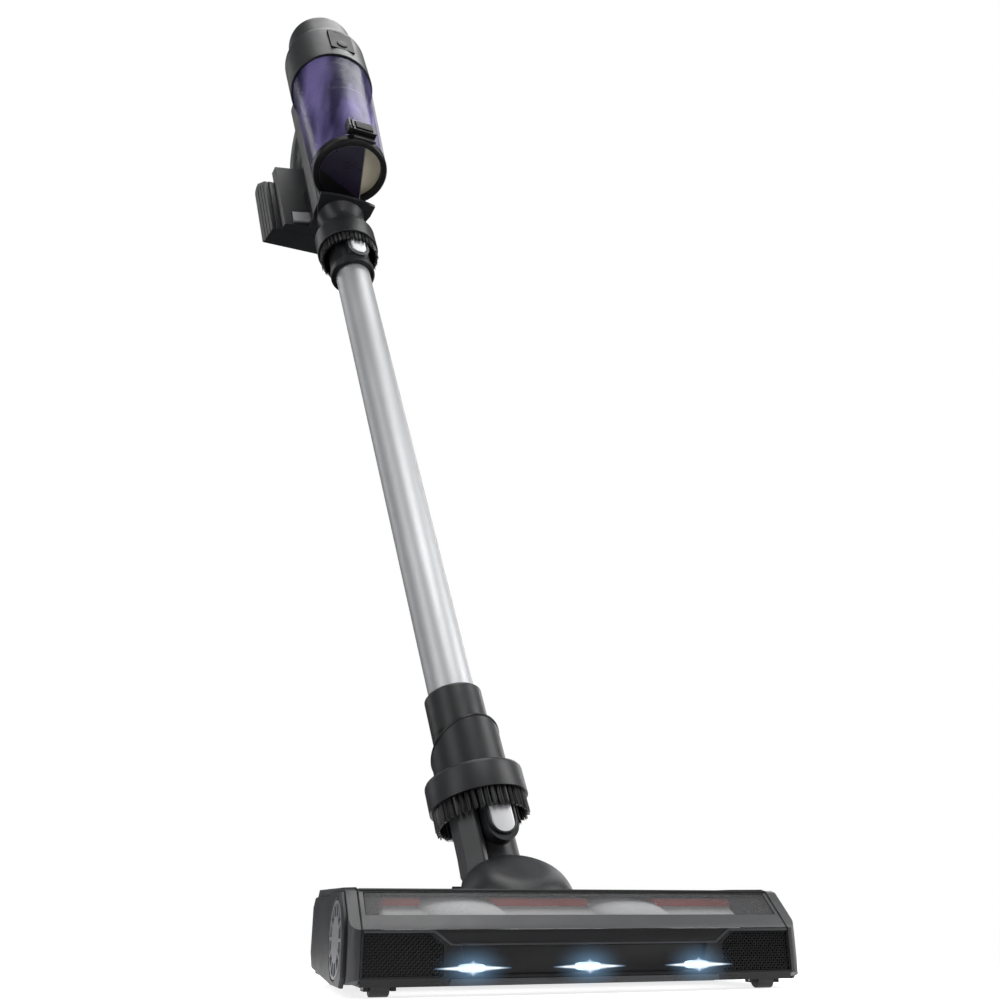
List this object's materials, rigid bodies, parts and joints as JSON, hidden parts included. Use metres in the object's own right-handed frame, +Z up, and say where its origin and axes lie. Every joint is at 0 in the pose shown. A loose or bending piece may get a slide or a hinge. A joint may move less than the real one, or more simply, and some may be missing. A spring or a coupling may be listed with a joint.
{
  "type": "cordless stick vacuum",
  "caption": "Cordless stick vacuum: floor head with a driven brush, steerable neck, aluminium wand, and a hand unit with a dust bin, motor, handle and removable battery.",
  "frame": {"origin": "on the floor under the middle of the floor head, where the head's wheels and rollers stand", "axes": "+Z up; the head faces -Y; +X is to the right seen from behind the handle"},
  "size_m": [0.3255, 0.5112, 1.0021],
  "materials": {
    "charcoal_plastic": "moulded, fine matte grain",
    "charcoal_satin": "moulded, satin",
    "black_plastic": "moulded, satin black",
    "gloss_black": "polished black",
    "grey_plastic": "moulded, light grey",
    "silver_plastic": "silver coated, satin",
    "tube_aluminium": "drawn tube, satin anodised",
    "bin_purple": "tinted clear plastic",
    "window_smoked": "smoked clear plastic",
    "lid_amber": "tinted clear plastic",
    "purple_plastic": "dark purple moulded",
    "roller_red": "soft woven pile",
    "bristle_black": "nylon bristles",
    "rubber_black": "moulded",
    "seal_felt": "felt strip",
    "steel": "turned",
    "mesh_metal": "perforated sheet",
    "lamp_lens": "clear lens, lit from behind",
    "filter_white": "pleated filter paper",
    "cell_blue": "wrapped steel can"
  },
  "bodies": {
    "hand_unit": {"inlet_housing": "charcoal_satin", "spine_frame": "charcoal_plastic", "dust_bin": "bin_purple", "latch_frame": "black_plastic", "lid_hinge_pin": "steel", "inlet_duct": "purple_plastic", "cyclone_core": "purple_plastic", "mesh_shroud": "mesh_metal", "motor_housing": "charcoal_plastic", "control_panel": "gloss_black", "suction_motor": "steel", "exhaust_filter": "filter_white", "handle_left": "charcoal_plastic", "handle_right": "charcoal_plastic", "battery_base": "charcoal_plastic"},
    "bin_lid": {"bin_lid": "black_plastic", "lid_window": "lid_amber"},
    "lid_latch": {"lid_latch_button": "silver_plastic"},
    "rear_cap": {"rear_cap": "charcoal_plastic"},
    "impeller": {"impeller": "black_plastic"},
    "power_button": {"power_button": "gloss_black"},
    "trigger": {"trigger": "grey_plastic"},
    "battery_pack": {"battery_pack": "charcoal_plastic", "battery_cells": "cell_blue"},
    "battery_release": {"battery_release": "silver_plastic"},
    "upper_brush": {"upper_brush_collar": "charcoal_satin", "upper_brush_bristles": "bristle_black"},
    "wand": {"wand_tube": "tube_aluminium", "wand_lower_sleeve": "charcoal_satin", "wand_upper_connector": "charcoal_satin", "wand_spigot": "black_plastic"},
    "wand_button": {"wand_release_button": "silver_plastic"},
    "lower_brush": {"lower_brush_collar": "charcoal_satin", "lower_brush_bristles": "bristle_black"},
    "neck_elbow": {"neck_elbow": "charcoal_satin", "neck_spigot": "black_plastic"},
    "head_button": {"head_release_button": "silver_plastic"},
    "neck_cradle": {"neck_cradle": "black_plastic", "neck_pins": "steel"},
    "head": {"head_base": "black_plastic", "head_top_cover": "charcoal_plastic", "brush_window": "window_smoked", "front_bumper": "black_plastic", "headlight_lenses": "lamp_lens", "end_cap_left": "charcoal_satin", "end_cap_right": "charcoal_satin", "brush_motor": "steel", "drive_belt": "rubber_black", "wheel_axles": "steel", "rear_strip": "seal_felt", "head_screws": "steel"},
    "brush_roll": {"brush_core": "black_plastic", "brush_sleeve": "roller_red", "brush_pulley": "black_plastic"},
    "motor_pulley": {"motor_pulley": "black_plastic"},
    "brush_lock_dial": {"brush_lock_dial": "grey_plastic"},
    "rear_wheel_left": {"rear_wheel_left": "rubber_black"},
    "rear_wheel_right": {"rear_wheel_right": "rubber_black"},
    "front_roller_left": {"front_roller_left": "rubber_black"},
    "front_roller_right": {"front_roller_right": "rubber_black"}
  },
  "joints": [
    {"name": "lid_hinge", "type": "hinge", "parent": "hand_unit", "child": "bin_lid", "pos_m": [-0.11237, 0.29047, 0.73496], "axis": [0.977, 0.1915, 0.0934], "range_deg": [0, 50]},
    {"name": "lid_latch_slide", "type": "slide", "parent": "hand_unit", "child": "lid_latch", "axis": [-0.1506, 0.9309, -0.3327], "range_m": [0, 0.0018], "stiffness_N_per_m": 400},
    {"name": "rear_cap_twist", "type": "hinge", "parent": "hand_unit", "child": "rear_cap", "pos_m": [-0.13075, 0.30609, 0.89521], "axis": [-0.1506, 0.311, 0.9384], "range_deg": [0, 30]},
    {"name": "impeller_spin", "type": "hinge", "parent": "hand_unit", "child": "impeller", "pos_m": [-0.13075, 0.30609, 0.89521], "axis": [-0.1506, 0.311, 0.9384], "continuous": true},
    {"name": "power_button_slide", "type": "slide", "parent": "hand_unit", "child": "power_button", "axis": [-0.1506, 0.9309, -0.3327], "range_m": [0, 0.001], "stiffness_N_per_m": 400},
    {"name": "trigger_hinge", "type": "hinge", "parent": "hand_unit", "child": "trigger", "pos_m": [-0.14627, 0.39764, 0.86984], "axis": [0.977, 0.1915, 0.0934], "range_deg": [0, 6], "stiffness_Nm_per_rad": 0.6, "springref_deg": -2.86},
    {"name": "battery_slide", "type": "slide", "parent": "hand_unit", "child": "battery_pack", "axis": [-0.1506, 0.9309, -0.3327], "range_m": [0, 0.07]},
    {"name": "battery_release_slide", "type": "slide", "parent": "hand_unit", "child": "battery_release", "axis": [-0.1506, 0.9309, -0.3327], "range_m": [0, 0.002], "stiffness_N_per_m": 400},
    {"name": "upper_brush_slide", "type": "slide", "parent": "hand_unit", "child": "upper_brush", "axis": [-0.1506, 0.311, 0.9384], "range_m": [0, 0.01]},
    {"name": "wand_release", "type": "slide", "parent": "hand_unit", "child": "wand", "axis": [0.1506, -0.311, -0.9384], "range_m": [0, 0.045]},
    {"name": "wand_button_slide", "type": "slide", "parent": "wand", "child": "wand_button", "axis": [-0.1506, 0.9309, -0.3327], "range_m": [0, 0.0025], "stiffness_N_per_m": 400},
    {"name": "lower_brush_slide", "type": "slide", "parent": "wand", "child": "lower_brush", "axis": [-0.1506, 0.311, 0.9384], "range_m": [0, 0.018]},
    {"name": "head_release", "type": "slide", "parent": "wand", "child": "neck_elbow", "axis": [0.1506, -0.311, -0.9384], "range_m": [0, 0.045]},
    {"name": "head_button_slide", "type": "slide", "parent": "neck_elbow", "child": "head_button", "axis": [-0.1506, 0.9309, -0.3327], "range_m": [0, 0.0025], "stiffness_N_per_m": 400},
    {"name": "neck_steer", "type": "hinge", "parent": "neck_elbow", "child": "neck_cradle", "pos_m": [0, 0.056, 0.04], "axis": [0, -0.4384, 0.8988], "range_deg": [-32.7, 57.3]},
    {"name": "neck_pitch", "type": "hinge", "parent": "neck_cradle", "child": "head", "pos_m": [0, 0.056, 0.04], "axis": [1, 0, 0], "range_deg": [-19, 58]},
    {"name": "brush_spin", "type": "hinge", "parent": "head", "child": "brush_roll", "pos_m": [0, -0.031, 0.0255], "axis": [1, 0, 0], "continuous": true},
    {"name": "motor_pulley_spin", "type": "hinge", "parent": "head", "child": "motor_pulley", "pos_m": [0.1, 0.008, 0.028], "axis": [1, 0, 0], "continuous": true},
    {"name": "brush_lock_turn", "type": "hinge", "parent": "head", "child": "brush_lock_dial", "pos_m": [-0.12, -0.031, 0.0255], "axis": [1, 0, 0], "range_deg": [0, 45]},
    {"name": "rear_wheel_left_spin", "type": "hinge", "parent": "head", "child": "rear_wheel_left", "pos_m": [-0.084, 0.034, 0.0105], "axis": [1, 0, 0], "continuous": true},
    {"name": "rear_wheel_right_spin", "type": "hinge", "parent": "head", "child": "rear_wheel_right", "pos_m": [0.084, 0.034, 0.0105], "axis": [1, 0, 0], "continuous": true},
    {"name": "front_roller_left_spin", "type": "hinge", "parent": "head", "child": "front_roller_left", "pos_m": [-0.1065, -0.048, 0.0045], "axis": [1, 0, 0], "continuous": true},
    {"name": "front_roller_right_spin", "type": "hinge", "parent": "head", "child": "front_roller_right", "pos_m": [0.1065, -0.048, 0.0045], "axis": [1, 0, 0], "continuous": true}
  ],
  "couplings": [
    {"joint": "motor_pulley_spin", "follows": "brush_spin", "ratio": 1.6667}
  ]
}
